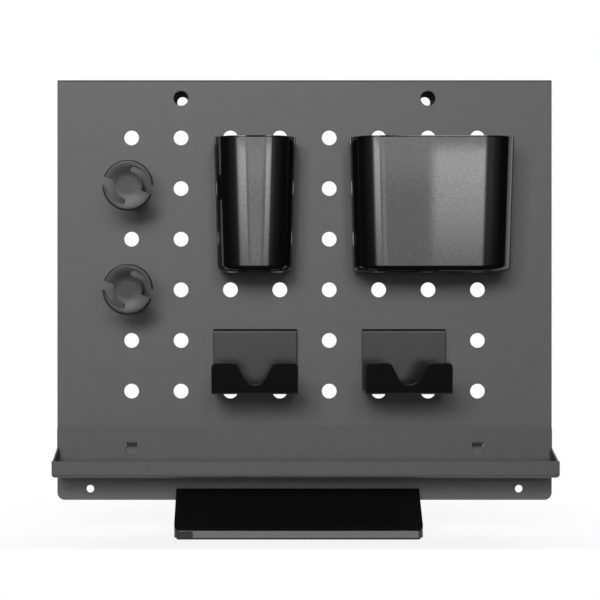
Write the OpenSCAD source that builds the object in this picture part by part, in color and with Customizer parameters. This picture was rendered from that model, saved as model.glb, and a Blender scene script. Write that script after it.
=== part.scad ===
// Pegboard desk stand: a punched steel panel held upright in a moulded wedge foot,
// with a hook-on shelf, two cups, two notched hooks and two cable winders.
// X runs along the panel, Y from front to back, Z up. The panel's front face is
// the plane Y = 0, the desk is Z = 0, and X = 0 is the middle of the panel.

/* [Panel] */
// Width of the panel
panel_w = 400; // [360:5:520]
// Height of the panel's front
panel_h = 340; // [320:1:400]
// Thickness of the panel's sheet
panel_t = 1.5; // [1:0.1:2.5]
// Depth of the bent return along the top edge
return_d = 29; // [15:1:45]
// Height of the rear flange that hangs from the return
flange_h = 26; // [20:1:32]
// Inner radius of the panel's bends
panel_bend_r = 1.2; // [0.5:0.1:2]
// Radius of the panel's lower corners
panel_corner_r = 6; // [2:0.5:12]

/* [Peg holes] */
// Diameter of a peg hole
peg_hole_d = 12; // [10:0.2:14]
// Distance between the columns
pitch_x = 40; // [38:1:44]
// Distance between the rows
pitch_z = 41; // [38:0.5:44]
// Height of the lowest row, which is behind the shelf, above the panel's lower edge
first_row_h = 47; // [45:0.5:50]
// Least distance from the outer columns to the panel's side edges
side_margin = 50; // [40:1:80]
// Least distance from the top row to the panel's top edge
top_margin = 40; // [30:1:80]

/* [Fixing holes] */
// Distance from the top edge to the axis of the two wall holes
wall_hole_drop = 15; // [12:0.5:18]
// Distance between the two wall holes
wall_hole_span = 200; // [120:10:240]
// Diameter of the screw holes in the rear flange
wall_hole_d = 9; // [6:0.5:10]
// Diameter of the two lower corner holes
corner_hole_d = 6.2; // [4:0.1:8]
// Height of the corner holes above the lower edge
corner_hole_h = 9; // [7:0.5:12]
// Distance between the two corner holes
corner_hole_span = 346.8; // [300:0.2:350]

/* [Shelf] */
// Thickness of the shelf's sheet
shelf_t = 1.5; // [1:0.1:2.5]
// Height of the shelf's top edge above the panel's lower edge
shelf_top_h = 60; // [56:1:66]
// Height of the shelf's underside above the panel's lower edge
shelf_base_h = 21.6; // [18:0.1:26]
// Depth of the shelf from the panel's face
shelf_d = 36; // [28:1:60]
// Height of the front lip
lip_h = 13.1; // [8:0.1:20]
// Height of the end tabs where they meet the panel
tab_h = 21.1; // [16:0.1:30]
// Width of the lanced opening above each hook tongue
lance_w = 9.2; // [8:0.1:10]
// Length of the sheet that is bent into a tongue
lance_h = 10.5; // [9:0.1:12]

/* [Foot] */
// Width of the foot
foot_w = 196; // [140:2:240]
// Sideways place of the foot along the panel's lower edge
foot_x = -5.6; // [-60:0.2:60]
// Reach of the foot in front of the panel
foot_front_d = 40; // [30:1:60]
// Reach of the foot behind the panel's face
foot_rear_d = 84; // [70:1:120]
// Height of the foot's front lip
foot_lip_h = 5.7; // [5:0.1:10]
// Height of the panel's lower edge above the foot's underside
seat_h = 25; // [20:0.5:35]
// Depth of the panel in the slot
slot_depth = 9.5; // [7:0.5:14]
// Height of the rear support above the panel's lower edge
support_h = 50; // [40:1:60]
// Thickness of the foot's walls
foot_wall = 3; // [2:0.2:4]
// Radius of the foot's upright corners
foot_corner_r = 5; // [2:0.5:10]
// Thickness of the steel base plate
base_t = 3; // [2:0.5:5]
// Thickness of the anti-slip mat
mat_t = 1.5; // [0.8:0.1:3]
// Distance between the two clamp screws
clamp_span = 120; // [80:5:150]
// Thread diameter of the clamp screws
clamp_d = 5; // [4:1:6]

/* [Cups] */
// Width of the narrow cup at its rim
narrow_w = 65; // [56:1:75]
// Width of the wide cup at its rim
wide_w = 130; // [110:1:150]
// Depth of a cup at its rim
cup_d = 50; // [42:1:70]
// Height of a cup
cup_h = 106.5; // [80:0.5:120]
// How much narrower a cup is at its bottom
cup_taper = 5.6; // [2:0.2:10]
// Radius of a cup's front corners
cup_corner_r = 19; // [8:1:22]
// Radius of a cup's back corners
cup_back_r = 6; // [3:0.5:10]
// Radius of a cup's bottom edge
cup_edge_r = 8; // [4:0.5:10]
// Thickness of a cup's wall
cup_wall = 2.2; // [1.6:0.1:3]
// Height of a cup's rim above the axis of the row that it hangs on
cup_rim_over_row = 41; // [20:0.5:50]

/* [Hooks] */
// Width of a hook
hook_w = 67.2; // [60:0.2:76]
// Thickness of a hook's sheet
hook_t = 1.5; // [1:0.1:2.5]
// Distance from the panel's face to the front of a hook's back plate
hook_stand = 5; // [4.5:0.1:8]
// Height of a hook's top edge above the axis of its row
hook_top_over_row = 9.3; // [8:0.1:12]
// Height of a hook from its underside to its top edge
hook_h = 49.8; // [40:0.1:60]
// Depth of the hook's floor from the panel's face
hook_d = 53; // [36:0.5:70]
// Height of the hook's front lip
hook_lip_h = 24.9; // [18:0.1:30]
// How far the lip leans outwards at its top
hook_lean = 3.5; // [0:0.5:10]
// Radius of the lip's outer top corners
hook_lip_r = 4.5; // [2:0.5:7]
// Radius of the round at the bottom of the notch
notch_r = 9.5; // [6:0.5:12]
// Height of the notch's bottom above the hook's underside
notch_base_h = 7.6; // [5:0.1:10]
// Slope of the notch's flanks from upright
notch_angle = 27; // [10:1:32]
// Radius of the notch's shoulders
notch_shoulder_r = 6; // [2:0.5:7]

/* [Pegs] */
// Diameter of a peg's neck
peg_neck_d = 5.5; // [4:0.1:6]
// Clearance all round a peg's head as it passes through its hole
peg_head_clear = 0.6; // [0.3:0.1:1.4]
// Thickness of a peg's head
peg_head_t = 2; // [1.5:0.1:4]
// How much the radius of the shoulder on the panel exceeds the radius of the hole
peg_collar_lap = 1; // [0.5:0.1:3]
// Thread diameter of the screws in the cups
cup_screw_d = 3; // [2.5:0.5:4]

/* [Winders] */
// Diameter of a winder's head
winder_d = 40; // [36:0.5:46]
// Distance from the panel's face to the front of the head
winder_l = 38; // [28:0.5:50]
// Thickness of the head at its rim
winder_rim_t = 4.5; // [3:0.1:6]
// Diameter of the spool core
core_d = 21.4; // [15:0.2:22]
// Inner radius of the spiral slots
slot_in_r = 11.2; // [11:0.1:12]
// Width of the spiral slots
slot_w = 4.3; // [3:0.1:5]
// Depth of the dish in the head's face
dish_d = 1.8; // [0.5:0.1:2.4]
// Diameter of the washer behind the panel
washer_d = 18; // [15:0.5:24]
// Thread diameter of the winder's screw
winder_screw_d = 4; // [3:0.5:5]

/* [Fits] */
// Gap between a hung piece and the panel's face
hang_gap = 0.2; // [0.1:0.05:0.4]
// Gap between a peg and the edge of the hole that it hangs in
peg_gap = 0.3; // [0.2:0.05:0.4]
// Gap between the panel and each side of the foot's slot
slot_gap = 0.2; // [0.1:0.05:0.4]
// Radial gap between the winder's spigot and its hole
spigot_gap = 0.1; // [0.05:0.01:0.1]

/* [Hidden] */

// Heights of the main levels above the desk
panel_z = mat_t + seat_h;
panel_top_z = panel_z + panel_h;
shelf_z = panel_z + shelf_base_h;
shelf_top_z = panel_z + shelf_top_h;

// The pegboard holds as many columns and rows as fit between its margins
columns = floor((panel_w - 2 * side_margin) / pitch_x) + 1;
rows = floor((panel_h - first_row_h - top_margin) / pitch_z) + 1;

function column_x(i) = (i - (columns - 1) / 2) * pitch_x;
function row_z(j) = panel_z + first_row_h + j * pitch_z;

// Columns and rows where the accessories hang, counted from the lower left
cup_row = rows - 2;
hook_row = 2;
shelf_row = 0;
shelf_columns = [0, columns - 1];
narrow_columns = [2, 3];
wide_columns = [columns - 3, columns - 1];
left_hook_columns = [2, 3];
right_hook_columns = [columns - 3, columns - 2];
winder_column = 0;
upper_winder_row = rows - 2;
lower_winder_row = rows - 4;

function mid_x(pair) = (column_x(pair[0]) + column_x(pair[1])) / 2;

cut = 1;
round_fn = 48;
corner_fn = 32;
bend_steps = 6;

steel_grey = [0.13, 0.13, 0.13];
black_plastic = [0.04, 0.04, 0.04];
zinc = [0.55, 0.55, 0.57];
rubber_black = [0.03, 0.03, 0.03];

function unit(v) = v / norm(v);
function reversed(list) = [for (i = [len(list) - 1:-1:0]) list[i]];
function polar(r, a) = [r * cos(a), r * sin(a)];
function arc(centre, r, from, to, steps) =
    [for (i = [0:steps]) centre + polar(r, from + (to - from) * i / steps)];

// Arc that rounds the corner b of the line a, b, c
function corner_arc(a, b, c, r) =
    let (u = unit(a - b), v = unit(c - b), half = acos(u * v) / 2)
    let (centre = b + unit(u + v) * r / sin(half), reach = r / tan(half))
    let (s = b + u * reach - centre, e = b + v * reach - centre)
    let (from = atan2(s[1], s[0]), raw = atan2(e[1], e[0]) - from)
    let (sweep = raw > 180 ? raw - 360 : raw < -180 ? raw + 360 : raw)
    arc(centre, r, from, from + sweep, bend_steps);

// Open line through the points of path with every inner corner rounded
function bent_line(path, r) = concat(
    [path[0]],
    [for (i = [1:len(path) - 2]) each corner_arc(path[i - 1], path[i], path[i + 1], r)],
    [path[len(path) - 1]]
);

function turned(v) = [-v[1], v[0]];
function normal_at(line, i) =
    let (a = i > 0 ? unit(line[i] - line[i - 1]) : unit(line[1] - line[0]))
    let (b = i < len(line) - 1 ? unit(line[i + 1] - line[i]) : a)
    turned(a + b) / (1 + a * b);
function beside(line, d) = [for (i = [0:len(line) - 1]) line[i] + d * normal_at(line, i)];

// Bent sheet of thickness t whose middle follows path, r being the inner bend radius
module sheet_profile(path, t, r) {
    line = bent_line(path, r + t / 2);
    polygon(concat(beside(line, t / 2), reversed(beside(line, -t / 2))));
}

// Extrudes a profile drawn in Y and Z along X, centred on X = 0
module along_x(w) {
    translate([-w / 2, 0, 0]) rotate([90, 0, 90]) linear_extrude(w) children();
}

// Extrudes an outline drawn in X and Z from y_front back to y_back
module along_y(y_front, y_back) {
    translate([0, y_back, 0]) rotate([90, 0, 0]) linear_extrude(y_back - y_front) children();
}

// Round bar along Y
module rod_y(d, y_front, y_back) {
    translate([0, y_back, 0]) rotate([90, 0, 0]) cylinder(h = y_back - y_front, d = d, $fn = round_fn);
}

// Solid of revolution about Y, profile points being radius and distance in front of Y = 0
module turned_y(points) {
    rotate([90, 0, 0]) rotate_extrude($fn = 2 * round_fn) polygon(points);
}

// Panel

panel_path = [
    [panel_t / 2, panel_z],
    [panel_t / 2, panel_top_z - panel_t / 2],
    [return_d - panel_t / 2, panel_top_z - panel_t / 2],
    [return_d - panel_t / 2, panel_top_z - flange_h]
];

module panel_corner_cut(side) {
    translate([side * (panel_w / 2 - panel_corner_r), 0, panel_z + panel_corner_r]) difference() {
        mirror([side < 0 ? 1 : 0, 0, 0]) along_y(-cut, panel_t + cut)
            translate([0, -panel_corner_r - cut]) square(panel_corner_r + cut);
        rod_y(2 * panel_corner_r, -2 * cut, panel_t + 2 * cut);
    }
}

module panel() {
    color(steel_grey) difference() {
        along_x(panel_w) sheet_profile(panel_path, panel_t, panel_bend_r);
        for (i = [0:columns - 1], j = [0:rows - 1])
            translate([column_x(i), 0, row_z(j)]) rod_y(peg_hole_d, -cut, panel_t + cut);
        for (side = [-1, 1]) {
            translate([side * wall_hole_span / 2, 0, panel_top_z - wall_hole_drop]) {
                rod_y(peg_hole_d, -cut, panel_t + cut);
                rod_y(wall_hole_d, return_d - panel_t - cut, return_d + cut);
            }
            translate([side * corner_hole_span / 2, 0, panel_z + corner_hole_h])
                rod_y(corner_hole_d, -cut, panel_t + cut);
            panel_corner_cut(side);
        }
    }
}

// Shelf

shelf_back_y = -hang_gap;
shelf_corner_r = 3;
shelf_bend_r = 1.2;
shelf_path = [
    [shelf_back_y - shelf_t / 2, shelf_top_z],
    [shelf_back_y - shelf_t / 2, shelf_z + shelf_t / 2],
    [-shelf_d + shelf_t / 2, shelf_z + shelf_t / 2],
    [-shelf_d + shelf_t / 2, shelf_z + lip_h]
];

// A tongue slants down at 45 degrees through a hole of the lowest row. Where it leaves the
// panel, its lower corners lie just above the edge of the hole.
lance_kerf = 0.15;
tongue_gap = 0.2;
tongue_bend_r = 0.4;
tongue_w = lance_w - 2 * lance_kerf;
tongue_y = panel_t + hang_gap + shelf_t / 2;
tongue_run = tongue_y - shelf_back_y + shelf_t / 2;
tongue_drop = panel_t - shelf_back_y + shelf_t / 2 + shelf_t / sqrt(2);
hole_drop = sqrt(pow(peg_hole_d / 2, 2) - pow(tongue_w / 2, 2));
lance_top_z = row_z(shelf_row) - hole_drop + tongue_gap + tongue_drop;
tongue_path = [
    [shelf_back_y - shelf_t / 2, lance_top_z + shelf_t],
    [shelf_back_y - shelf_t / 2, lance_top_z],
    [tongue_y, lance_top_z - tongue_run],
    [tongue_y, lance_top_z - lance_h + shelf_t]
];

module lance_outline(w) {
    translate([0, -lance_h + w / 2]) circle(d = w, $fn = corner_fn);
    translate([-w / 2, -lance_h + w / 2]) square([w, lance_h - w / 2 + shelf_t]);
}

module shelf_tongue() {
    intersection() {
        along_x(tongue_w) sheet_profile(tongue_path, shelf_t, tongue_bend_r);
        translate([0, 0, lance_top_z + shelf_t]) along_y(-shelf_d, shelf_d) lance_outline(tongue_w);
    }
}

module shelf_tab(side) {
    x_in = side * (panel_w / 2 - shelf_t / 2);
    translate([x_in, 0, 0]) along_x(shelf_t) polygon([
        [shelf_back_y, shelf_z + shelf_t / 2],
        [shelf_back_y, shelf_z + tab_h],
        [-shelf_d + shelf_t / 2, shelf_z + lip_h - shelf_t],
        [-shelf_d + shelf_t / 2, shelf_z + shelf_t / 2]
    ]);
}

// Rounds the upper corners of the back flange and the ends of the front lip
module shelf_front_outline() {
    r = shelf_corner_r;
    for (side = [-1, 1]) {
        translate([side * (panel_w / 2 - r), shelf_top_z - r]) circle(r, $fn = corner_fn);
        translate([side * (panel_w / 2 - r), shelf_z + r]) circle(r, $fn = corner_fn);
    }
    translate([-panel_w / 2 + r, shelf_z]) square([panel_w - 2 * r, shelf_top_z - shelf_z]);
    translate([-panel_w / 2, shelf_z + r]) square([panel_w, shelf_top_z - shelf_z - 2 * r]);
}

module shelf() {
    color(steel_grey) {
        intersection() {
            difference() {
                union() {
                    along_x(panel_w) sheet_profile(shelf_path, shelf_t, shelf_bend_r);
                    for (side = [-1, 1]) shelf_tab(side);
                }
                for (i = shelf_columns) translate([column_x(i), 0, lance_top_z])
                    along_y(shelf_back_y - shelf_t - cut, shelf_back_y + cut)
                        intersection() {
                            lance_outline(lance_w);
                            translate([-lance_w, -2 * lance_h]) square([2 * lance_w, 2 * lance_h]);
                        }
            }
            along_y(-shelf_d - cut, cut) shelf_front_outline();
        }
        for (i = shelf_columns) translate([column_x(i), 0, 0]) shelf_tongue();
    }
}

// Foot

foot_z = mat_t;
slot_front_y = -slot_gap;
slot_back_y = panel_t + slot_gap;
front_wall_t = 3;
support_t = 6;
support_draft = 3;
support_top_z = panel_z + support_h;
support_y = slot_back_y + support_t;
slot_top_z = panel_z + slot_depth;
rear_lip_h = 6;
deck_z = foot_z + 17;
cavity_floor_z = foot_z + base_t;

// Straight stretches of the foot's outer surface, as heights at a depth
front_slope = (slot_top_z - foot_z - foot_lip_h) / (foot_front_d - slot_gap - front_wall_t);
deck_slope = (deck_z - foot_z - rear_lip_h) / (foot_rear_d - support_y);
function front_skin_z(y) = foot_z + foot_lip_h + (y + foot_front_d) * front_slope;
function deck_skin_z(y) = foot_z + rear_lip_h + (foot_rear_d - y) * deck_slope;

// Outer section of the foot, from the front lip over the slot to the rear edge
lip_round_r = 1;
front_round_r = 2;
support_round_r = 2.5;
web_round_r = 22;
rear_round_r = 3;
front_lip = [-foot_front_d, foot_z + foot_lip_h];
front_top = [slot_front_y - front_wall_t, slot_top_z];
support_top = [support_y, support_top_z];
support_base = [support_y + support_draft, deck_skin_z(support_y + support_draft)];
rear_lip = [foot_rear_d, foot_z + rear_lip_h];
foot_section = concat(
    [[-foot_front_d, foot_z]],
    corner_arc([-foot_front_d, foot_z], front_lip, front_top, lip_round_r),
    corner_arc(front_lip, front_top, [slot_front_y, slot_top_z], front_round_r),
    [[slot_front_y, slot_top_z], [slot_front_y, panel_z], [slot_back_y, panel_z],
     [slot_back_y, support_top_z]],
    corner_arc([slot_back_y, support_top_z], support_top, support_base, support_round_r),
    corner_arc(support_top, support_base, rear_lip, web_round_r),
    corner_arc(support_base, rear_lip, [foot_rear_d, foot_z], rear_round_r),
    [[foot_rear_d, foot_z]]
);

module foot_plan(inset) {
    r = foot_corner_r - min(inset, foot_corner_r - 1);
    w = foot_w - 2 * inset;
    y0 = -foot_front_d + inset;
    y1 = foot_rear_d - inset;
    for (sx = [-1, 1], y = [y0 + r, y1 - r]) translate([sx * (w / 2 - r), y]) circle(r, $fn = corner_fn);
    translate([-w / 2 + r, y0]) square([w - 2 * r, y1 - y0]);
    translate([-w / 2, y0 + r]) square([w, y1 - y0 - 2 * r]);
}

// Hollow under the skin, its roof kept one wall under the surface
front_drop = foot_wall * norm([1, front_slope]);
deck_drop = foot_wall * norm([1, deck_slope]);
seat_floor_t = 4;
roof_z = panel_z - seat_floor_t;
cavity_front_y = -foot_front_d + foot_wall;
cavity_rear_y = foot_rear_d - foot_wall;
cavity_section = [
    [cavity_front_y, cavity_floor_z],
    [cavity_front_y, front_skin_z(cavity_front_y) - front_drop],
    [(roof_z + front_drop - foot_z - foot_lip_h) / front_slope - foot_front_d, roof_z],
    [slot_back_y, roof_z],
    [support_y, deck_skin_z(support_y) - deck_drop],
    [cavity_rear_y, deck_skin_z(cavity_rear_y) - deck_drop],
    [cavity_rear_y, cavity_floor_z]
];

boss_d = 10;
base_screw_d = 4;
base_screw_head_d = 8;
base_screw_head_h = 2.2;
base_screw_l = 8;
base_socket_d = 2.8;
base_socket_h = 1.4;
screw_gap = 0.05;
plate_gap = 0.3;
boss_inset = 17;
rear_boss_inset = 36;
boss_spots = [
    for (sx = [-1, 1], y = [-foot_front_d + boss_inset, foot_rear_d - rear_boss_inset])
        [sx * (foot_w / 2 - boss_inset), y]
];
rib_t = 2.4;
rib_spots = [-foot_w / 6, foot_w / 6];

clamp_z = panel_z + slot_depth / 2;
clamp_spots = [-clamp_span / 2, clamp_span / 2];
insert_wall = 1.1;
insert_cover = 1.5;
insert_d = clamp_d + 2 * insert_wall;
insert_y = slot_back_y + insert_cover;
insert_l = 8;
clamp_spare_l = 2.5;
clamp_head_ratio = 1.7;
clamp_head_d = clamp_head_ratio * clamp_d;
clamp_head_l = clamp_d;
clamp_head_y = insert_y + insert_l + clamp_spare_l;
clamp_head_gap = 0.75;
clamp_socket_ratio = 0.8;
clamp_socket_d = clamp_socket_ratio * clamp_d / cos(30);

module at_boss_spots() {
    for (spot = boss_spots) translate(spot) children();
}

module foot_hollow() {
    difference() {
        intersection() {
            along_x(foot_w) polygon(cavity_section);
            linear_extrude(support_top_z) foot_plan(foot_wall);
        }
        at_boss_spots() cylinder(h = support_top_z, d = boss_d, $fn = round_fn);
        for (x = rib_spots) translate([x - rib_t / 2, -foot_front_d, 0])
            cube([rib_t, foot_front_d + foot_rear_d, support_top_z]);
    }
}

module foot_shell() {
    color(black_plastic) translate([foot_x, 0, 0]) difference() {
        intersection() {
            along_x(foot_w) polygon(foot_section);
            linear_extrude(support_top_z + cut) foot_plan(0);
        }
        foot_hollow();
        translate([0, 0, foot_z - cut]) linear_extrude(base_t + cut) foot_plan(foot_wall);
        at_boss_spots() cylinder(h = foot_z + base_screw_l + plate_gap,
            d = base_screw_d + 2 * screw_gap, $fn = round_fn);
        for (x = clamp_spots) translate([x, 0, clamp_z]) {
            rod_y(insert_d, insert_y, insert_y + insert_l + cut);
            rod_y(clamp_d + 2 * screw_gap, 0, insert_y + cut);
            rod_y(clamp_head_d + 2 * clamp_head_gap, insert_y + insert_l, foot_rear_d);
        }
    }
}

module foot_base_plate() {
    color(zinc) translate([foot_x, 0, 0]) difference() {
        translate([0, 0, foot_z]) linear_extrude(base_t) foot_plan(foot_wall + plate_gap);
        at_boss_spots() {
            cylinder(h = cavity_floor_z + cut, d = base_screw_d + 2 * plate_gap, $fn = round_fn);
            translate([0, 0, foot_z]) cylinder(h = base_screw_head_h,
                d1 = base_screw_head_d + 2 * screw_gap, d2 = base_screw_d + 2 * screw_gap,
                $fn = round_fn);
        }
    }
}

module foot_base_screws() {
    color(zinc) translate([foot_x, 0, foot_z]) at_boss_spots() difference() {
        union() {
            cylinder(h = base_screw_head_h, d1 = base_screw_head_d, d2 = base_screw_d, $fn = round_fn);
            cylinder(h = base_screw_l, d = base_screw_d, $fn = round_fn);
        }
        translate([0, 0, -cut]) cylinder(h = cut + base_socket_h, d = base_socket_d, $fn = 6);
    }
}

mat_inset = 2;

module foot_mat() {
    color(rubber_black) translate([foot_x, 0, 0]) linear_extrude(mat_t) foot_plan(mat_inset);
}

module foot_clamp_inserts() {
    color("goldenrod") translate([foot_x, 0, clamp_z]) for (x = clamp_spots)
        translate([x, 0, 0]) difference() {
            rod_y(insert_d, insert_y, insert_y + insert_l);
            rod_y(clamp_d + 2 * screw_gap, insert_y - cut, insert_y + insert_l + cut);
        }
}

module foot_clamp_screws() {
    color(zinc) translate([foot_x, 0, clamp_z]) for (x = clamp_spots)
        translate([x, 0, 0]) difference() {
            union() {
                rod_y(clamp_d, panel_t, clamp_head_y);
                rod_y(clamp_head_d, clamp_head_y, clamp_head_y + clamp_head_l);
            }
            translate([0, clamp_head_y + clamp_head_l + cut, 0]) rotate([90, 0, 0])
                cylinder(h = cut + clamp_head_l / 2, d = clamp_socket_d, $fn = 6);
        }
}

// Pegs: a shoulder on the panel, a neck in the hole and a head behind it

peg_drop = (peg_hole_d - peg_neck_d) / 2 - peg_gap;
peg_head_d = peg_hole_d - 2 * peg_head_clear;
peg_collar_d = peg_hole_d + 2 * peg_collar_lap;
peg_head_gap = 0.3;
peg_head_y = panel_t + peg_head_gap;

module peg(front_y, bore_d) {
    translate([0, 0, -peg_drop]) difference() {
        union() {
            rod_y(peg_collar_d, front_y, -hang_gap);
            rod_y(peg_neck_d, -hang_gap - cut, peg_head_y);
            rod_y(peg_head_d, peg_head_y, peg_head_y + peg_head_t);
        }
        if (bore_d > 0) rod_y(bore_d, front_y - cut, peg_head_y);
    }
}

module peg_pair(pair, row, front_y, bore_d = 0) {
    color(zinc) for (i = pair) translate([column_x(i), 0, row_z(row)]) peg(front_y, bore_d);
}

// Cups

cup_stand = 1.8;
cup_back_y = -cup_stand;
cup_rim_z = row_z(cup_row) - peg_drop + cup_rim_over_row;
cup_base_z = cup_rim_z - cup_h;
cup_edge_steps = 5;
least_corner_r = 0.5;
disc_h = 0.01;

// One level of a cup: w and d are its width and depth, inset its distance inside the skin
module cup_level(w, d, inset, z) {
    front_r = max(cup_corner_r - inset, least_corner_r);
    back_r = max(cup_back_r - inset, least_corner_r);
    front_y = cup_back_y - d + inset + front_r;
    for (sx = [-1, 1]) {
        translate([sx * (w / 2 - inset - front_r), front_y, z])
            cylinder(h = disc_h, r = front_r, $fn = round_fn);
        translate([sx * (w / 2 - inset - back_r), cup_back_y - inset - back_r, z])
            cylinder(h = disc_h, r = back_r, $fn = corner_fn);
    }
}

// Tapered body with a rounded bottom edge, inset all round by a wall for the hollow
module cup_body(w, inset, edge_r, top_z) {
    deep = cup_d + cup_back_y;
    share = edge_r / cup_h;
    hull() {
        cup_level(w, deep, inset, top_z);
        for (k = [0:cup_edge_steps]) {
            a = 90 * k / cup_edge_steps;
            cup_level(w - cup_taper * (1 - share), deep - cup_taper * (1 - share) / 2,
                inset + edge_r * (1 - cos(a)), cup_base_z + inset + edge_r * (1 - sin(a)));
        }
    }
}

module cup(w, columns_used) {
    color(black_plastic) difference() {
        translate([mid_x(columns_used), 0, 0]) difference() {
            cup_body(w, 0, cup_edge_r, cup_rim_z - disc_h);
            cup_body(w, cup_wall, cup_edge_r - cup_wall / 2, cup_rim_z + cut);
        }
        for (i = columns_used) translate([column_x(i), 0, row_z(cup_row) - peg_drop])
            rod_y(cup_screw_d + 2 * screw_gap, cup_back_y - cup_wall - cut, cup_back_y + cut);
    }
}

pan_head_ratio = 1.9;
pan_height_ratio = 0.6;
recess_ratio = 0.6;
recess_w = 0.8;
cup_screw_head_d = pan_head_ratio * cup_screw_d;
cup_screw_head_h = pan_height_ratio * cup_screw_d;
cup_screw_y = cup_back_y - cup_wall;

// Cross recess, as deep as half its square bars
module cross_recess(head_d, head_h) {
    for (turn = [0, 90]) rotate([0, turn, 0])
        cube([recess_ratio * head_d, head_h, recess_w], center = true);
}

module cup_screws(pair) {
    color(zinc) for (i = pair) translate([column_x(i), 0, row_z(cup_row) - peg_drop]) difference() {
        union() {
            rod_y(cup_screw_d, cup_screw_y - cut, panel_t / 2);
            rod_y(cup_screw_head_d, cup_screw_y - cup_screw_head_h, cup_screw_y);
        }
        translate([0, cup_screw_y - cup_screw_head_h, 0]) cross_recess(cup_screw_head_d, cup_screw_head_h);
    }
}

module narrow_cup() { cup(narrow_w, narrow_columns); }
module narrow_cup_pegs() { peg_pair(narrow_columns, cup_row, cup_back_y, cup_screw_d + 2 * screw_gap); }
module narrow_cup_screws() { cup_screws(narrow_columns); }
module wide_cup() { cup(wide_w, wide_columns); }
module wide_cup_pegs() { peg_pair(wide_columns, cup_row, cup_back_y, cup_screw_d + 2 * screw_gap); }
module wide_cup_screws() { cup_screws(wide_columns); }

// Hooks

hook_bend_r = 1;
hook_foot_z = row_z(hook_row) + hook_top_over_row - hook_h;
hook_top_z = row_z(hook_row) + hook_top_over_row;
hook_back_y = -hook_stand + hook_t;
hook_path = [
    [-hang_gap, hook_top_z - hook_t / 2],
    [-hook_stand + hook_t / 2, hook_top_z - hook_t / 2],
    [-hook_stand + hook_t / 2, hook_foot_z + hook_t / 2],
    [-hook_d + hook_t / 2, hook_foot_z + hook_t / 2],
    [-hook_d + hook_t / 2 - hook_lean, hook_foot_z + hook_lip_h]
];

// Half of the lip's outline, from the notch's bottom to the outer edge
notch_steps = 8;
notch_rise = hook_lip_h - notch_base_h - notch_r;
notch_flank = notch_r * [cos(notch_angle), -sin(notch_angle)];
notch_top_x = notch_flank[0] + (notch_rise - notch_flank[1]) * tan(notch_angle);
notch_half = concat(
    arc([0, 0], notch_r, -90, -notch_angle, notch_steps),
    corner_arc(notch_flank, [notch_top_x, notch_rise], [hook_w / 2, notch_rise], notch_shoulder_r),
    corner_arc([0, notch_rise], [hook_w / 2, notch_rise], [hook_w / 2, -notch_r], hook_lip_r),
    [[hook_w / 2 + cut, notch_rise - hook_lip_r], [hook_w / 2 + cut, notch_rise + cut],
     [0, notch_rise + cut]]
);

module notch_cut() {
    for (side = [0, 1]) mirror([side, 0]) polygon(notch_half);
}

module hook(pair) {
    color(steel_grey) translate([mid_x(pair), 0, 0]) difference() {
        along_x(hook_w) sheet_profile(hook_path, hook_t, hook_bend_r);
        translate([0, 0, hook_foot_z + notch_base_h + notch_r])
            along_y(-hook_d - hook_lean - 2 * cut, -hook_d / 2) notch_cut();
    }
}

module left_hook() { hook(left_hook_columns); }
module left_hook_pegs() { peg_pair(left_hook_columns, hook_row, hook_back_y); }
module right_hook() { hook(right_hook_columns); }
module right_hook_pegs() { peg_pair(right_hook_columns, hook_row, hook_back_y); }

// Winders

spigot_l = panel_t + hang_gap;
head_back_l = winder_l - winder_rim_t;
winder_r = winder_d / 2;
core_r = core_d / 2;
rim_round = 1.4;
rim_w = 1.8;
dish_r = winder_r - rim_w;
dish_floor_r = 9;
dish_steps = 10;
neck_fillet = 2.5;
winder_screw_l = 14;
winder_profile = concat(
    [[0, -spigot_l], [peg_hole_d / 2 - spigot_gap, -spigot_l],
     [peg_hole_d / 2 - spigot_gap, hang_gap], [core_r, hang_gap]],
    corner_arc([core_r, hang_gap], [core_r, head_back_l], [winder_r, head_back_l], neck_fillet),
    corner_arc([core_r, head_back_l], [winder_r, head_back_l], [winder_r, winder_l], rim_round),
    corner_arc([winder_r, head_back_l], [winder_r, winder_l], [0, winder_l], rim_round),
    [for (k = [0:dish_steps]) [
        dish_r - (dish_r - dish_floor_r) * k / dish_steps,
        winder_l - dish_d * (1 - cos(180 * k / dish_steps)) / 2
    ]],
    [[0, winder_l - dish_d]]
);

// Outline of one spiral slot, from its mouth in the rim to its round inner end
slot_end_a = 252;
slot_mouth_a = 159;
mouth_lead_a = 15;
mouth_round_r = 2.2;
slot_steps = 10;
slot_overrun = 2;
horn_a = 183;
slot_out_r = slot_in_r + slot_w;
slot_mid_r = slot_in_r + slot_w / 2;
horn_tip_r = 0.95;
horn_mid_r = winder_r - horn_tip_r;
horn_flare = horn_mid_r - horn_tip_r - slot_out_r;
slot_outline = concat(
    corner_arc(polar(winder_r + slot_overrun, slot_mouth_a), polar(slot_in_r, slot_mouth_a),
        polar(slot_in_r, slot_mouth_a + mouth_lead_a), mouth_round_r),
    arc([0, 0], slot_in_r, slot_mouth_a + mouth_lead_a, slot_end_a, slot_steps),
    arc(polar(slot_mid_r, slot_end_a), slot_w / 2, slot_end_a + 180, slot_end_a, slot_steps),
    [for (k = [1:slot_steps]) polar(slot_out_r + horn_flare * pow(k / slot_steps, 2),
        slot_end_a + (horn_a - slot_end_a) * k / slot_steps)],
    arc(polar(horn_mid_r, horn_a), horn_tip_r, horn_a - 180, horn_a, slot_steps),
    [polar(winder_r + slot_overrun, horn_a)]
);

module winder(row) {
    color(black_plastic) translate([column_x(winder_column), 0, row_z(row)]) difference() {
        turned_y(winder_profile);
        for (turn = [0, 180]) rotate([0, turn, 0])
            along_y(-winder_l - cut, -head_back_l + neck_fillet) polygon(slot_outline);
        rod_y(winder_screw_d + 2 * screw_gap, -winder_screw_l, spigot_l + cut);
    }
}

washer_t = 1.2;
winder_screw_head_d = pan_head_ratio * winder_screw_d;
winder_screw_head_h = pan_height_ratio * winder_screw_d;

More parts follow.
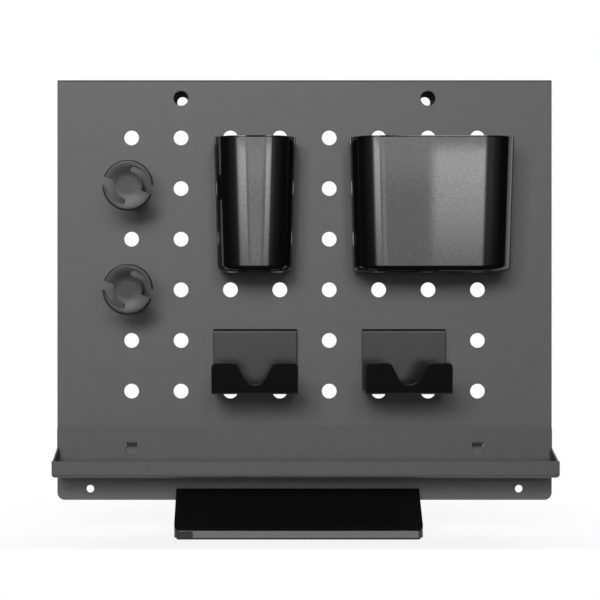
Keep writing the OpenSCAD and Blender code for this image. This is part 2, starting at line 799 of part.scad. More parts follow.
module winder_washer(row) {
    color(zinc) translate([column_x(winder_column), 0, row_z(row)]) difference() {
        rod_y(washer_d, spigot_l, spigot_l + washer_t);
        rod_y(winder_screw_d + 2 * screw_gap, 0, spigot_l + 2 * washer_t);
    }
}

module winder_screw(row) {
    head_y = spigot_l + washer_t;
    color(zinc) translate([column_x(winder_column), 0, row_z(row)]) difference() {
        union() {
            rod_y(winder_screw_d, -winder_screw_l, head_y + cut);
            rod_y(winder_screw_head_d, head_y, head_y + winder_screw_head_h);
        }
        translate([0, head_y + winder_screw_head_h, 0])
            cross_recess(winder_screw_head_d, winder_screw_head_h);
    }
}

module upper_winder() { winder(upper_winder_row); }
module upper_winder_washer() { winder_washer(upper_winder_row); }
module upper_winder_screw() { winder_screw(upper_winder_row); }
module lower_winder() { winder(lower_winder_row); }
module lower_winder_washer() { winder_washer(lower_winder_row); }
module lower_winder_screw() { winder_screw(lower_winder_row); }

panel();
shelf();
foot_shell();
foot_base_plate();
foot_base_screws();
foot_mat();
foot_clamp_screws();
foot_clamp_inserts();
narrow_cup();
narrow_cup_pegs();
narrow_cup_screws();
wide_cup();
wide_cup_pegs();
wide_cup_screws();
left_hook();
left_hook_pegs();
right_hook();
right_hook_pegs();
upper_winder();
upper_winder_washer();
upper_winder_screw();
lower_winder();
lower_winder_washer();
lower_winder_screw();
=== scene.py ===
import math

import bmesh
import bpy
from mathutils import Matrix, Vector


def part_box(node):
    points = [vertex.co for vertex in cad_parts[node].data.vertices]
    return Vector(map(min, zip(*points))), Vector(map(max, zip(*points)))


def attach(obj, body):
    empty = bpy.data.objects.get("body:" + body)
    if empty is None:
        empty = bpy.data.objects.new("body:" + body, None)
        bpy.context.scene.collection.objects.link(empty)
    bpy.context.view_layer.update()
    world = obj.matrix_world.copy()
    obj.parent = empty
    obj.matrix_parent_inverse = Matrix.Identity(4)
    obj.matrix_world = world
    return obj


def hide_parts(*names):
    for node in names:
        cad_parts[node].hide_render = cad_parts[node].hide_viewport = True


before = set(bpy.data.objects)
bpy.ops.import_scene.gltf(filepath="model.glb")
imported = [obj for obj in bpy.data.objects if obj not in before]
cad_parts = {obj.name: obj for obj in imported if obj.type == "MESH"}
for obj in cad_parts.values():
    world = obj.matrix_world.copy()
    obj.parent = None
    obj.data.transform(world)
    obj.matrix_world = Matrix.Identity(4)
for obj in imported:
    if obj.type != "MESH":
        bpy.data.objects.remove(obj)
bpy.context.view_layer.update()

MM = 0.001

# Moulded cups, whose round bottom edge draws in further at the sides than in front and behind
CUP_TAPER = 5.6 * MM
CUP_BACK_R = 6 * MM
CUP_LEAST_BACK_R = 0.5 * MM
CUP_EDGE_W = 8 * MM
CUP_EDGE_D = 4.5 * MM
CUP_WALL = 2.2 * MM
CUP_RIM_R = 0.4 * MM
# A front corner starts with a wide arc of a few degrees, which a tighter one carries round to the side
CUP_CORNER_W = 27.2 * MM
CUP_CORNER_WIDE_R = 80 * MM
CUP_CORNER_WIDE_DEG = 6.5
CUP_BODIES = ("narrow_cup", "wide_cup")

# Painted reflection: a pale strip along the foot's lower edge, which stops short of the foot's ends,
# stands in for the pale table mirrored in the foot's lower lip
FOOT_SHEEN_STRIP_H = 5.6 * MM
FOOT_SHEEN_STRIP_END = 3.6 * MM

# Winders, close to the solids but for a shallower dish and the open mouths of the slots
WINDER_CORE_R = 10.7 * MM
WINDER_SPIGOT_R = 5.9 * MM
WINDER_SPIGOT_L = 1.7 * MM
WINDER_PANEL_GAP = 0.2 * MM
WINDER_RIM_T = 4.5 * MM
WINDER_RIM_W = 1.8 * MM
WINDER_RIM_ROUND = 1.4 * MM
WINDER_NECK_R = 2.5 * MM
WINDER_DISH_D = 0.9 * MM
WINDER_DISH_FLOOR_R = 6 * MM
WINDER_BORE_R = 2.2 * MM
WINDER_BORE_L = 14.5 * MM
SLOT_IN_R = 11.2 * MM
SLOT_W = 4.3 * MM
SLOT_MOUTH_DEG = 159
SLOT_LEAD_DEG = 15
SLOT_END_DEG = 252
HORN_DEG = 183
HORN_TIP_R = 0.95 * MM
MOUTH_ROUND_R = 2.2 * MM
WINDERS = ("upper_winder", "lower_winder")

# The camera stands square to the panel, a little left of its middle
CAMERA_AT = Vector((-32 * MM, -1300 * MM, 188.25 * MM))
# Width of the image in the panel's plane, and the column of the image that the optical axis meets
FRAME_W = 485.6 * MM
OPTICAL_AXIS_PX = 265
IMAGE_PX = 600
SENSOR_W = 36.0

# The pale table ends in front of the object
FLOOR_SIDE = 3.0
FLOOR_FRONT_Y = -0.085
FLOOR_BACK_Y = 4.0
FLOOR_VALUE = 0.6
FLOOR_ROUGHNESS = 0.9
# White share of the table's look near the object, and the distances between which it rises to 1
FLOOR_WHITE_NEAR = 0.85
FLOOR_FADE = (0.12, 0.4)


def lerp(a, b, t):
    return a + (b - a) * t


# Procedural finishes

# Most values of a noise lie between these
NOISE_LOW = 0.3
NOISE_HIGH = 0.7
BEVEL_SAMPLES = 6


class Shader:
    """Builds a material's node tree around its Principled shader."""

    def __init__(self, name, **constants):
        self.material = bpy.data.materials.new(name)
        self.material.use_nodes = True
        self.tree = self.material.node_tree
        self.principled = self.tree.nodes["Principled BSDF"]
        for socket, value in constants.items():
            self.principled.inputs[socket.replace("_", " ")].default_value = value
        self.place = self.tree.nodes.new("ShaderNodeTexCoord").outputs["Object"]
        self.edge_round = None

    def node(self, kind, **values):
        made = self.tree.nodes.new(kind)
        for key, value in values.items():
            setattr(made, key, value)
        return made

    def link(self, start, end):
        self.tree.links.new(start, end)

    def noise(self, size, detail=2.0, stretch=(1, 1, 1)):
        """Noise whose grains are about size metres across."""
        mapping = self.node("ShaderNodeMapping")
        mapping.inputs["Scale"].default_value = stretch
        noise = self.node("ShaderNodeTexNoise")
        noise.inputs["Scale"].default_value = 1 / size
        noise.inputs["Detail"].default_value = detail
        self.link(self.place, mapping.inputs["Vector"])
        self.link(mapping.outputs["Vector"], noise.inputs["Vector"])
        return noise.outputs["Fac"]

    def spread(self, value, low, high):
        """The middle of a noise mapped to the range from low to high."""
        ranged = self.node("ShaderNodeMapRange")
        ranged.inputs["From Min"].default_value = NOISE_LOW
        ranged.inputs["From Max"].default_value = NOISE_HIGH
        ranged.inputs["To Min"].default_value = low
        ranged.inputs["To Max"].default_value = high
        self.link(value, ranged.inputs["Value"])
        return ranged.outputs["Result"]

    def tint(self, value, dark, light):
        ramp = self.node("ShaderNodeValToRGB")
        ramp.color_ramp.elements[0].position = NOISE_LOW
        ramp.color_ramp.elements[0].color = (*dark, 1)
        ramp.color_ramp.elements[1].position = NOISE_HIGH
        ramp.color_ramp.elements[1].color = (*light, 1)
        self.link(value, ramp.inputs["Fac"])
        self.link(ramp.outputs["Color"], self.principled.inputs["Base Color"])

    def roughness(self, value, low, high):
        self.link(self.spread(value, low, high), self.principled.inputs["Roughness"])

    def gloss(self, value, low, high):
        self.link(self.spread(value, low, high), self.principled.inputs["Specular IOR Level"])

    def edge_mask(self, value, limit, blend):
        """0 above the limit and 1 further below it than blend."""
        mask = self.node("ShaderNodeMapRange")
        mask.inputs["From Min"].default_value = limit
        mask.inputs["From Max"].default_value = limit - blend
        self.link(value, mask.inputs["Value"])
        return mask.outputs["Result"]

    def soft_edges(self, radius):
        """Lets the light see each sharp edge as a small round, as a coat or a mould leaves it."""
        bevel = self.node("ShaderNodeBevel", samples=BEVEL_SAMPLES)
        bevel.inputs["Radius"].default_value = radius
        self.edge_round = bevel.outputs["Normal"]

    def relief(self, *layers):
        """Bump from layers of (height value, depth in metres), the first one lowest."""
        normal = self.edge_round
        for height, depth in layers:
            bump = self.node("ShaderNodeBump")
            bump.inputs["Distance"].default_value = depth
            self.link(height, bump.inputs["Height"])
            if normal:
                self.link(normal, bump.inputs["Normal"])
            normal = bump.outputs["Normal"]
        self.link(normal, self.principled.inputs["Normal"])


def shades(value, change):
    return tuple(value * (1 - change) for _ in range(3)), tuple(value * (1 + change) for _ in range(3))


COAT_TINT_PATCH = 9 * MM
COAT_TINT_CHANGE = 0.04
COAT_GLOSS_PATCH = 4 * MM
# Small round that a powder coat leaves on a sharp edge
COAT_EDGE_R = 1.0 * MM
PEEL_SIZE = 1.6 * MM
PEEL_DEPTH = 0.008 * MM
COAT_GRAIN_SIZE = 0.5 * MM
COAT_GRAIN_DEPTH = 0.004 * MM


def powder_coat(name, value, low, high, ior, peel):
    """Fine powder coat on steel: a soft orange peel with a finer grain on it."""
    shader = Shader(name, IOR=ior)
    shader.tint(shader.noise(COAT_TINT_PATCH, detail=3), *shades(value, COAT_TINT_CHANGE))
    shader.roughness(shader.noise(COAT_GLOSS_PATCH, detail=2), low, high)
    shader.soft_edges(COAT_EDGE_R)
    coarse = (shader.noise(PEEL_SIZE, detail=1), peel * PEEL_DEPTH)
    fine = (shader.noise(COAT_GRAIN_SIZE, detail=1), peel * COAT_GRAIN_DEPTH)
    shader.relief(coarse, fine)
    return shader.material


PLASTIC_TINT_PATCH = 14 * MM
PLASTIC_TINT_CHANGE = 0.06
PLASTIC_GLOSS_PATCH = 7 * MM
# Fine speckle in the gloss of a moulded face
SPECKLE_SIZE = 1.3 * MM
SPECKLE_LEVELS = (0.43, 0.57)


def moulded_plastic(name, value, low, high, ior, grain, depth, edge_r):
    """Moulded plastic with a fine spark-eroded grain, a speckled gloss and faint flow marks."""
    shader = Shader(name, IOR=ior)
    if edge_r:
        shader.soft_edges(edge_r)
    shader.tint(shader.noise(PLASTIC_TINT_PATCH, detail=2), *shades(value, PLASTIC_TINT_CHANGE))
    shader.roughness(shader.noise(PLASTIC_GLOSS_PATCH, detail=3), low, high)
    shader.gloss(shader.noise(SPECKLE_SIZE, detail=2), *SPECKLE_LEVELS)
    shader.relief((shader.noise(grain, detail=1), depth))
    return shader.material


# Value and roughness of the foot, each followed by that of its strip of painted reflection
FOOT_AND_SHEEN_VALUES = (0.003, 0.085)
FOOT_ROUGHNESS = (0.15, 0.5)
FOOT_IOR = 1.5
FOOT_EDGE_R = 0.6 * MM
FOOT_GRAIN_SIZE = 0.5 * MM
FOOT_GRAIN_DEPTH = 0.002 * MM
# Width over which the foot's finish changes to that of the painted reflection strip
SHEEN_STRIP_BLEND = 0.3 * MM


def foot_with_painted_sheen(name):
    """Glossy black moulding with a paler strip along its lower edge, which is a painted reflection of the
    pale table in front.
    """
    shader = Shader(name, IOR=FOOT_IOR)
    low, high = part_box("foot_shell")
    split = shader.node("ShaderNodeSeparateXYZ")
    shader.link(shader.place, split.inputs[0])
    across = shader.node("ShaderNodeMath", operation="ABSOLUTE")
    shader.link(split.outputs["X"], across.inputs[0])
    height = shader.edge_mask(split.outputs["Z"], low.z + FOOT_SHEEN_STRIP_H, SHEEN_STRIP_BLEND)
    ends = shader.edge_mask(across.outputs[0], high.x - FOOT_SHEEN_STRIP_END, SHEEN_STRIP_BLEND)
    painted_sheen = shader.node("ShaderNodeMath", operation="MULTIPLY")
    shader.link(height, painted_sheen.inputs[0])
    shader.link(ends, painted_sheen.inputs[1])
    # The strip's paler value is painted reflection of the pale table, not a colour of the foot
    shader.tint(painted_sheen.outputs[0], *[(value, value, value) for value in FOOT_AND_SHEEN_VALUES])
    shader.roughness(painted_sheen.outputs[0], *FOOT_ROUGHNESS)
    shader.soft_edges(FOOT_EDGE_R)
    shader.relief((shader.noise(FOOT_GRAIN_SIZE, detail=1), FOOT_GRAIN_DEPTH))
    return shader.material


# Darker patches of a plating, as a share of its colour
PLATING_DARK = 0.86
PLATING_TINT_PATCH = 2.5 * MM
PLATING_GLOSS_PATCH = 1.2 * MM
TURNING_MARK_SIZE = 0.35 * MM
TURNING_MARK_STRETCH = (1, 1, 5)
TURNING_MARK_DEPTH = 0.008 * MM


def plated_metal(name, colour, low, high):
    """Plated metal with fine turning marks across Z."""
    shader = Shader(name, Metallic=1.0)
    dark = tuple(c * PLATING_DARK for c in colour)
    shader.tint(shader.noise(PLATING_TINT_PATCH, detail=3), dark, colour)
    shader.roughness(shader.noise(PLATING_GLOSS_PATCH, detail=2), low, high)
    marks = shader.noise(TURNING_MARK_SIZE, detail=1, stretch=TURNING_MARK_STRETCH)
    shader.relief((marks, TURNING_MARK_DEPTH))
    return shader.material


RUBBER_IOR = 1.45
RUBBER_ROUGHNESS = (0.75, 0.9)
RUBBER_TINT_PATCH = 5 * MM
RUBBER_TINT_CHANGE = 0.12
RUBBER_GLOSS_PATCH = 1.5 * MM
PEBBLE_SIZE = 0.9 * MM
PEBBLE_DEPTH = 0.05 * MM


def rubber(name, value):
    """Matt rubber with a pebbled face."""
    shader = Shader(name, IOR=RUBBER_IOR)
    shader.tint(shader.noise(RUBBER_TINT_PATCH, detail=3), *shades(value, RUBBER_TINT_CHANGE))
    shader.roughness(shader.noise(RUBBER_GLOSS_PATCH), *RUBBER_ROUGHNESS)
    shader.relief((shader.noise(PEBBLE_SIZE, detail=1), PEBBLE_DEPTH))
    return shader.material


# A finish's numbers are its base value or colour, its least and greatest roughness and its IOR, as far as
# its kind takes them. A powder coat's last number is the strength of its orange peel.
FINISHES = {
    "panel_steel": powder_coat("panel_steel_look", 0.066, 0.42, 0.47, 1.45, 1.0),
    "shelf_steel": powder_coat("shelf_steel_look", 0.056, 0.42, 0.47, 1.45, 1.0),
    "hook_steel": powder_coat("hook_steel_look", 0.003, 0.22, 0.25, 1.46, 0.1),
    "foot_plastic": foot_with_painted_sheen("foot_plastic_sheen_look"),
    "cup_plastic": moulded_plastic(
        "cup_plastic_look", 0.003, 0.02, 0.035, 1.55, grain=0.7 * MM, depth=0.0012 * MM, edge_r=0),
    "winder_plastic": moulded_plastic(
        "winder_plastic_look", 0.01, 0.3, 0.36, 1.45, grain=0.5 * MM, depth=0.004 * MM, edge_r=0.7 * MM),
    "black_steel": powder_coat("black_steel_look", 0.02, 0.3, 0.38, 1.6, 1.0),
    "zinc_steel": plated_metal("zinc_steel_look", (0.56, 0.57, 0.58), 0.24, 0.36),
    "brass": plated_metal("brass_look", (0.76, 0.58, 0.27), 0.2, 0.32),
    "mat_rubber": rubber("mat_rubber_look", 0.025),
}


def dress_nodes():
    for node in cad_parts.values():
        for slot in node.material_slots:
            slot.material = FINISHES[slot.material.name]


# New pieces

def place_piece(name, mesh, body, slot, nodes):
    piece = bpy.data.objects.new(name, mesh)
    bpy.context.scene.collection.objects.link(piece)
    mesh.materials.clear()
    mesh.materials.append(FINISHES[slot])
    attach(piece, body)
    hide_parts(*nodes)


def new_piece(name, points, faces, body, slot, nodes):
    mesh = bpy.data.meshes.new(name)
    mesh.from_pydata([tuple(p) for p in points], [], faces)
    mesh.validate()
    for polygon in mesh.polygons:
        polygon.use_smooth = True
    place_piece(name, mesh, body, slot, nodes)


def loft(rings):
    """Points and faces of a closed skin through rings of equal length, capped at both ends."""
    points = [p for ring in rings for p in ring]
    count = len(rings[0])
    faces = [tuple(reversed(range(count)))]
    for level in range(len(rings) - 1):
        low = level * count
        for i in range(count):
            j = (i + 1) % count
            faces.append((low + i, low + j, low + count + j, low + count + i))
    top = (len(rings) - 1) * count
    faces.append(tuple(range(top, top + count)))
    return points, faces


WIDE_STEPS = 8
CORNER_STEPS = 18
SIDE_STEPS = 6


def half_cup_outline(half_w, front_y, back_y, inset):
    """Right half of a cup's outline from the middle of its front to the middle of its back."""
    turn = math.radians(CUP_CORNER_WIDE_DEG)
    wide_r = CUP_CORNER_WIDE_R
    tight_r = (CUP_CORNER_W - wide_r * math.sin(turn)) / (1 - math.sin(turn))
    start_x = half_w + inset - CUP_CORNER_W
    wide_y = front_y - inset + wide_r
    tight_x = start_x + (wide_r - tight_r) * math.sin(turn)
    tight_y = wide_y - (wide_r - tight_r) * math.cos(turn)
    back_r = max(CUP_BACK_R - inset, CUP_LEAST_BACK_R)
    points = [(start_x * i / SIDE_STEPS, front_y) for i in range(SIDE_STEPS)]
    for i in range(WIDE_STEPS):
        a = turn * i / WIDE_STEPS
        r = wide_r - inset
        points.append((start_x + r * math.sin(a), wide_y - r * math.cos(a)))
    for i in range(CORNER_STEPS + 1):
        a = lerp(turn, math.pi / 2, i / CORNER_STEPS)
        r = tight_r - inset
        points.append((tight_x + r * math.sin(a), tight_y - r * math.cos(a)))
    side_top = back_y - back_r
    points += [(half_w, lerp(tight_y, side_top, i / SIDE_STEPS)) for i in range(1, SIDE_STEPS)]
    for i in range(CORNER_STEPS + 1):
        a = math.pi / 2 * i / CORNER_STEPS
        points.append((half_w - back_r * (1 - math.cos(a)), side_top + back_r * math.sin(a)))
    back_x = half_w - back_r
    points += [(back_x * (1 - i / SIDE_STEPS), back_y) for i in range(1, SIDE_STEPS + 1)]
    return points


def cup_outline(half_w, front_y, back_y, inset, z):
    right = half_cup_outline(half_w, front_y, back_y, inset)
    left = [(-x, y) for x, y in reversed(right[1:-1])]
    return [Vector((x, y, z)) for x, y in right + left]


EDGE_STEPS = 8
WALL_STEPS = 10
# Rings this near to a wall's ends keep the rounds beyond them out of its shading
CREASE_SHARE = 0.01
RIM_STEPS = 5


def cup_skin(low, high):
    """Rings of a tapered cup: up the outside, over the round rim and down the inside."""
    height = high.z - low.z
    rim_half_w = (high.x - low.x) / 2

    def ring(inset, z, share=0):
        """Outline at height z, drawn in by inset and by a share of the round bottom edge."""
        narrowing = CUP_TAPER * (1 - (z - low.z) / height)
        half_w = rim_half_w - narrowing / 2 - inset
        front_y = low.y + narrowing / 2 + inset
        points = cup_outline(half_w, front_y, high.y - inset, inset, z)
        middle_y = (low.y + high.y) / 2
        squeeze_x = 1 - share * CUP_EDGE_W / rim_half_w
        squeeze_y = 1 - share * CUP_EDGE_D / (high.y - middle_y)
        return [Vector((p.x * squeeze_x, middle_y + (p.y - middle_y) * squeeze_y, p.z)) for p in points]

    def edge(inset, base_z, r):
        turns = [math.radians(90 * k / EDGE_STEPS) for k in range(EDGE_STEPS + 1)]
        return [ring(inset, base_z + r * (1 - math.cos(a)), 1 - math.sin(a)) for a in turns]

    def wall(inset, z0, z1):
        shares = [CREASE_SHARE] + [k / WALL_STEPS for k in range(1, WALL_STEPS)] + [1 - CREASE_SHARE]
        return [ring(inset, lerp(z0, z1, share)) for share in shares]

    rim_r = CUP_RIM_R
    turns = [math.radians(90 * k / RIM_STEPS) for k in range(RIM_STEPS + 1)]
    rim = [ring(rim_r * (1 - math.cos(a)), high.z - rim_r + rim_r * math.sin(a)) for a in turns]
    rim += [ring(CUP_WALL - rim_r * (1 - math.sin(a)), high.z - rim_r * (1 - math.cos(a))) for a in turns]
    outside = edge(0, low.z, CUP_EDGE_D) + wall(0, low.z + CUP_EDGE_D, high.z - rim_r)
    inner_r = CUP_EDGE_D - CUP_WALL / 2
    inside = wall(CUP_WALL, high.z - rim_r, low.z + CUP_WALL + inner_r)
    inside += reversed(edge(CUP_WALL, low.z + CUP_WALL, inner_r))
    return outside + rim + inside


def make_cup(body):
    low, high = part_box(body)
    middle = Vector(((low.x + high.x) / 2, 0, 0))
    rings = [[p + middle for p in ring] for ring in cup_skin(low, high)]
    points, faces = loft(rings)
    new_piece(body + "_shell", points, faces, body, "cup_plastic", [body])


def polar(r, degrees, centre=(0, 0)):
    a = math.radians(degrees)
    return Vector((centre[0] + r * math.cos(a), centre[1] + r * math.sin(a)))


def arc(centre, r, start, end, steps):
    return [polar(r, lerp(start, end, i / steps), centre) for i in range(steps + 1)]


ROUND_STEPS = 6


def round_corner(a, b, c, r):
    """Arc that rounds the corner b of the line a, b, c."""
    a, b, c = Vector(a), Vector(b), Vector(c)
    to_a = (a - b).normalized()
    to_c = (c - b).normalized()
    half = to_a.angle(to_c) / 2
    centre = b + (to_a + to_c).normalized() * (r / math.sin(half))
    start = b + to_a * (r / math.tan(half)) - centre
    end = b + to_c * (r / math.tan(half)) - centre
    from_deg = math.degrees(math.atan2(start.y, start.x))
    sweep = (math.degrees(math.atan2(end.y, end.x)) - from_deg + 180) % 360 - 180
    return arc(centre, r, from_deg, from_deg + sweep, ROUND_STEPS)


TURN_STEPS = 96
DISH_STEPS = 14
SLOT_STEPS = 18
SLOT_END_STEPS = 12
HORN_TIP_STEPS = 10
# How far the cutting solids reach past the faces and the rim that they open
CUT_PAST_FACE = 1 * MM
CUT_PAST_RIM = 2 * MM
# Faces that meet at less than this are shaded as one
SMOOTH_DEG = 35


def turned(profile):
    """Solid of revolution about Y from points of radius and distance in front of the panel."""
    turns = [2 * math.pi * k / TURN_STEPS for k in range(TURN_STEPS)]
    return loft([[Vector((r * math.cos(a), -d, r * math.sin(a))) for a in turns] for r, d in profile])


def pushed(outline, front, back):
    """Prism of an outline seen from the front, between two distances in front of the panel."""
    return loft([[Vector((p[0], -d, p[1])) for p in outline] for d in (front, back)])


def winder_profile(head_r, length):
    back = length - WINDER_RIM_T
    dish_r = head_r - WINDER_RIM_W
    points = [
        (WINDER_SPIGOT_R, -WINDER_SPIGOT_L), (WINDER_SPIGOT_R, WINDER_PANEL_GAP),
        (WINDER_CORE_R, WINDER_PANEL_GAP),
    ]
    neck = ((WINDER_CORE_R, WINDER_PANEL_GAP), (WINDER_CORE_R, back), (head_r, back))
    rear = ((WINDER_CORE_R, back), (head_r, back), (head_r, length))
    front = ((head_r, back), (head_r, length), (0, length))
    points += round_corner(*neck, WINDER_NECK_R) + round_corner(*rear, WINDER_RIM_ROUND)
    points += round_corner(*front, WINDER_RIM_ROUND)
    for k in range(DISH_STEPS + 1):
        share = k / DISH_STEPS
        depth = WINDER_DISH_D * (1 - math.cos(math.pi * share)) / 2
        points.append((lerp(dish_r, WINDER_DISH_FLOOR_R, share), length - depth))
    return points


def slot_outline(head_r):
    """One spiral slot, from its open mouth in the rim to its round inner end and back along the horn."""
    out_r = SLOT_IN_R + SLOT_W
    past_rim = head_r + CUT_PAST_RIM
    lead = SLOT_MOUTH_DEG + SLOT_LEAD_DEG
    horn_mid_r = head_r - HORN_TIP_R
    flare = horn_mid_r - HORN_TIP_R - out_r
    mouth = polar(past_rim, SLOT_MOUTH_DEG)
    points = [mouth]
    points += round_corner(mouth, polar(SLOT_IN_R, SLOT_MOUTH_DEG), polar(SLOT_IN_R, lead), MOUTH_ROUND_R)
    points += arc((0, 0), SLOT_IN_R, lead, SLOT_END_DEG, SLOT_STEPS)
    end = polar(SLOT_IN_R + SLOT_W / 2, SLOT_END_DEG)
    points += arc(end, SLOT_W / 2, SLOT_END_DEG + 180, SLOT_END_DEG, SLOT_END_STEPS)[1:]
    for k in range(1, SLOT_STEPS + 1):
        share = k / SLOT_STEPS
        points.append(polar(out_r + flare * share ** 2, lerp(SLOT_END_DEG, HORN_DEG, share)))
    horn_tip = polar(horn_mid_r, HORN_DEG)
    points += arc(horn_tip, HORN_TIP_R, HORN_DEG - 180, HORN_DEG, HORN_TIP_STEPS)[1:]
    points.append(polar(past_rim, HORN_DEG))
    return points


def face_outwards(mesh):
    shape = bmesh.new()
    shape.from_mesh(mesh)
    bmesh.ops.recalc_face_normals(shape, faces=shape.faces)
    shape.to_mesh(mesh)
    shape.free()


def cut(name, body, tools):
    """Mesh of the solid body with the tool solids taken away, each given as points and faces."""
    made = []
    for points, faces in [body] + tools:
        mesh = bpy.data.meshes.new(name)
        mesh.from_pydata([tuple(p) for p in points], [], faces)
        face_outwards(mesh)
        holder = bpy.data.objects.new(name, mesh)
        bpy.context.scene.collection.objects.link(holder)
        made.append(holder)
    for tool in made[1:]:
        difference = made[0].modifiers.new(tool.name, "BOOLEAN")
        difference.operation = "DIFFERENCE"
        difference.solver = "EXACT"
        difference.object = tool
    depsgraph = bpy.context.evaluated_depsgraph_get()
    result = bpy.data.meshes.new_from_object(made[0].evaluated_get(depsgraph))
    for holder in made:
        bpy.data.objects.remove(holder)
    return result


def make_winder(body):
    low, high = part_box(body)
    head_r = (high.z - low.z) / 2
    outline = slot_outline(head_r)
    front = -low.y + CUT_PAST_FACE
    back = -low.y - WINDER_RIM_T - WINDER_NECK_R
    opposite = [-p for p in outline]
    bore = turned([(WINDER_BORE_R, -WINDER_SPIGOT_L - CUT_PAST_FACE), (WINDER_BORE_R, WINDER_BORE_L)])
    tools = [pushed(outline, back, front), pushed(opposite, back, front), bore]
    mesh = cut(body + "_spool", turned(winder_profile(head_r, -low.y)), tools)
    mesh.transform(Matrix.Translation(((low.x + high.x) / 2, 0, (low.z + high.z) / 2)))
    for polygon in mesh.polygons:
        polygon.use_smooth = True
    mesh.set_sharp_from_angle(angle=math.radians(SMOOTH_DEG))
    place_piece(body + "_spool", mesh, body, "winder_plastic", [body])


# Camera, lamps and surroundings

def make_camera():
    camera = bpy.data.cameras.new("camera")
    distance = -CAMERA_AT.y
    camera.sensor_width = SENSOR_W
    camera.lens = SENSOR_W * distance / FRAME_W
    camera.shift_x = (IMAGE_PX / 2 - OPTICAL_AXIS_PX) / IMAGE_PX
    holder = bpy.data.objects.new("camera", camera)
    holder.location = CAMERA_AT
    holder.rotation_euler = (math.radians(90), 0, 0)
    bpy.context.scene.collection.objects.link(holder)
    bpy.context.scene.camera = holder


def direction(azimuth, elevation):
    """Unit vector to a light, azimuth counted from straight in front towards +X, in degrees."""
    a, e = math.radians(azimuth), math.radians(elevation)
    return Vector((math.sin(a) * math.cos(e), -math.cos(a) * math.cos(e), math.sin(e)))


LAMP_AIM = Vector((0, 0, 0.2))


def soft_lamp(name, azimuth, elevation, distance, width, height, level):
    """Area lamp that no gloss mirrors, and that gives a white sheet facing it a brightness of level."""
    lamp = bpy.data.lights.new(name, "AREA")
    lamp.shape = "RECTANGLE"
    lamp.size = width
    lamp.size_y = height
    lamp.energy = level * math.pi * math.pi * distance ** 2
    holder = bpy.data.objects.new(name, lamp)
    holder.location = LAMP_AIM + direction(azimuth, elevation) * distance
    holder.rotation_euler = (LAMP_AIM - holder.location).to_track_quat("-Z", "Y").to_euler()
    holder.visible_glossy = False
    bpy.context.scene.collection.objects.link(holder)


LAMPS = (
    # name, azimuth and elevation in degrees, distance, width and height in metres, level
    ("key_left", -9, 20, 1.25, 0.22, 0.32, 0.25),
    ("key_right", 10, 20, 1.25, 0.16, 0.32, 0.1),
    ("side_left", -20, 16, 1.25, 0.1, 0.2, 0.28),
    ("fill_front", 0, 35, 1.6, 1.6, 0.8, 0.03),
    ("rear_left", 145, 30, 1.6, 0.9, 0.9, 0.45),
    ("rear_right", 215, 25, 1.6, 0.9, 0.9, 0.4),
)


class WorldMaths:
    """Small helpers that chain maths nodes in the world's tree."""

    def __init__(self, tree):
        self.tree = tree

    def fill(self, node, *values):
        for socket, value in zip(node.inputs, values):
            if isinstance(value, (int, float)):
                socket.default_value = value
            else:
                self.tree.links.new(value, socket)
        return node.outputs[0]

    def maths(self, operation, *values):
        node = self.tree.nodes.new("ShaderNodeMath")
        node.operation = operation
        return self.fill(node, *values)

    def ramp(self, value, start, end):
        """Smooth step from 0 at start to 1 at end."""
        node = self.tree.nodes.new("ShaderNodeMapRange")
        node.interpolation_type = "SMOOTHSTEP"
        return self.fill(node, value, start, end, 0.0, 1.0)

    def band(self, value, rise_from, rise_to, fall_from, fall_to):
        rise = self.ramp(value, rise_from, rise_to)
        fall = self.ramp(value, fall_to, fall_from)
        return self.maths("MULTIPLY", rise, fall)


# Light cards in front of the object, in degrees right of the camera's line and above the horizon.
# Each one rises from its first angle to its second and falls from its third to its fourth.
STRIP_HEIGHTS = (-2.8, 1.5, 2.1, 2.7)
WASH_SIDES = (-20, -8.5, 9.3, 13.8)
TAIL_HEIGHTS = (-5, 1.8, 3.4, 4.4)
TOP_HEIGHTS = (8, 11, 28, 32)
CARDS = (
    # azimuths, elevations, strength
    ((-20, -8.5, -3.9, -3.6), STRIP_HEIGHTS, 3.5),
    ((5.8, 6.1, 9.3, 13.8), STRIP_HEIGHTS, 3.5),
    (WASH_SIDES, (-6, -3, 3.4, 4.4), 1.9),
    (WASH_SIDES, (0.5, 2.2, 3.4, 4.4), 0.9),
    ((-1.6, -1.0, 1.6, 3.4), (-3, -1, 1.6, 3.2), 0.9),
    ((-34, -13, 12, 32), TAIL_HEIGHTS, 0.45),
    ((-65, -30, 30, 60), TAIL_HEIGHTS, 0.15),
    ((-14, -12, -4, -2), TOP_HEIGHTS, 16.0),
    ((4, 6, 12, 14), TOP_HEIGHTS, 11.0),
    ((-24, -22, -18, -16), TOP_HEIGHTS, 9.0),
)
# Behind the object all is white, from nothing to full between these values of the direction's y
BACKGROUND_EDGE_Y = (0.0, 0.25)


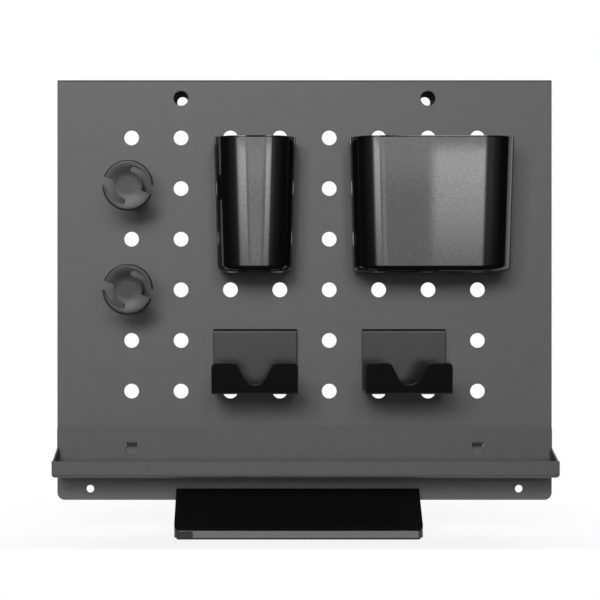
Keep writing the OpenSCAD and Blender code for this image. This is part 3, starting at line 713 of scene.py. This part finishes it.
def make_world():
    world = bpy.data.worlds.new("studio")
    bpy.context.scene.world = world
    world.use_nodes = True
    tree = world.node_tree
    m = WorldMaths(tree)
    place = tree.nodes.new("ShaderNodeTexCoord").outputs["Generated"]
    split = tree.nodes.new("ShaderNodeSeparateXYZ")
    tree.links.new(place, split.inputs[0])
    x, y, z = split.outputs
    front = m.maths("MULTIPLY", y, -1.0)
    azimuth = m.maths("MULTIPLY", m.maths("ARCTAN2", x, front), 180 / math.pi)
    elevation = m.maths("MULTIPLY", m.maths("ARCSINE", z), 180 / math.pi)
    total = 0.0
    for sides, heights, strength in CARDS:
        card = m.maths("MULTIPLY", m.band(azimuth, *sides), m.band(elevation, *heights))
        total = m.maths("MULTIPLY_ADD", card, strength, total)
    behind = m.ramp(y, *BACKGROUND_EDGE_Y)
    total = m.maths("MAXIMUM", total, behind)
    camera_ray = tree.nodes.new("ShaderNodeLightPath").outputs["Is Camera Ray"]
    strength = m.maths("MAXIMUM", total, camera_ray)
    background = tree.nodes["Background"]
    background.inputs["Color"].default_value = (1, 1, 1, 1)
    tree.links.new(strength, background.inputs["Strength"])


def make_floor():
    """Pale table that is seen as white, with a share of its own shading and shadows near the object."""
    corners = [
        (-FLOOR_SIDE, FLOOR_FRONT_Y, 0), (FLOOR_SIDE, FLOOR_FRONT_Y, 0),
        (FLOOR_SIDE, FLOOR_BACK_Y, 0), (-FLOOR_SIDE, FLOOR_BACK_Y, 0),
    ]
    mesh = bpy.data.meshes.new("floor")
    mesh.from_pydata(corners, [], [(0, 1, 2, 3)])
    floor = bpy.data.objects.new("floor", mesh)
    bpy.context.scene.collection.objects.link(floor)
    material = bpy.data.materials.new("pale_floor")
    material.use_nodes = True
    tree = material.node_tree
    m = WorldMaths(tree)
    principled = tree.nodes["Principled BSDF"]
    principled.inputs["Base Color"].default_value = (FLOOR_VALUE, FLOOR_VALUE, FLOOR_VALUE, 1)
    principled.inputs["Roughness"].default_value = FLOOR_ROUGHNESS
    principled.inputs["Specular IOR Level"].default_value = 0.0
    glow = tree.nodes.new("ShaderNodeEmission")
    glow.inputs["Strength"].default_value = 1.0
    mix = tree.nodes.new("ShaderNodeMixShader")
    path = tree.nodes.new("ShaderNodeLightPath")
    seen = m.maths("MAXIMUM", path.outputs["Is Camera Ray"], path.outputs["Is Glossy Ray"])
    seen = m.maths("MAXIMUM", seen, path.outputs["Is Transmission Ray"])
    place = tree.nodes.new("ShaderNodeTexCoord").outputs["Object"]
    length = tree.nodes.new("ShaderNodeVectorMath")
    length.operation = "LENGTH"
    tree.links.new(place, length.inputs[0])
    far = m.ramp(length.outputs["Value"], *FLOOR_FADE)
    white = m.maths("MULTIPLY_ADD", far, 1 - FLOOR_WHITE_NEAR, FLOOR_WHITE_NEAR)
    tree.links.new(m.maths("MULTIPLY", seen, white), mix.inputs["Fac"])
    tree.links.new(principled.outputs["BSDF"], mix.inputs[1])
    tree.links.new(glow.outputs["Emission"], mix.inputs[2])
    tree.links.new(mix.outputs["Shader"], tree.nodes["Material Output"].inputs["Surface"])
    mesh.materials.append(material)


make_camera()
make_world()
make_floor()
for lamp in LAMPS:
    soft_lamp(*lamp)
dress_nodes()
for body in CUP_BODIES:
    make_cup(body)
for body in WINDERS:
    make_winder(body)

bpy.context.scene.view_settings.view_transform = "Standard"
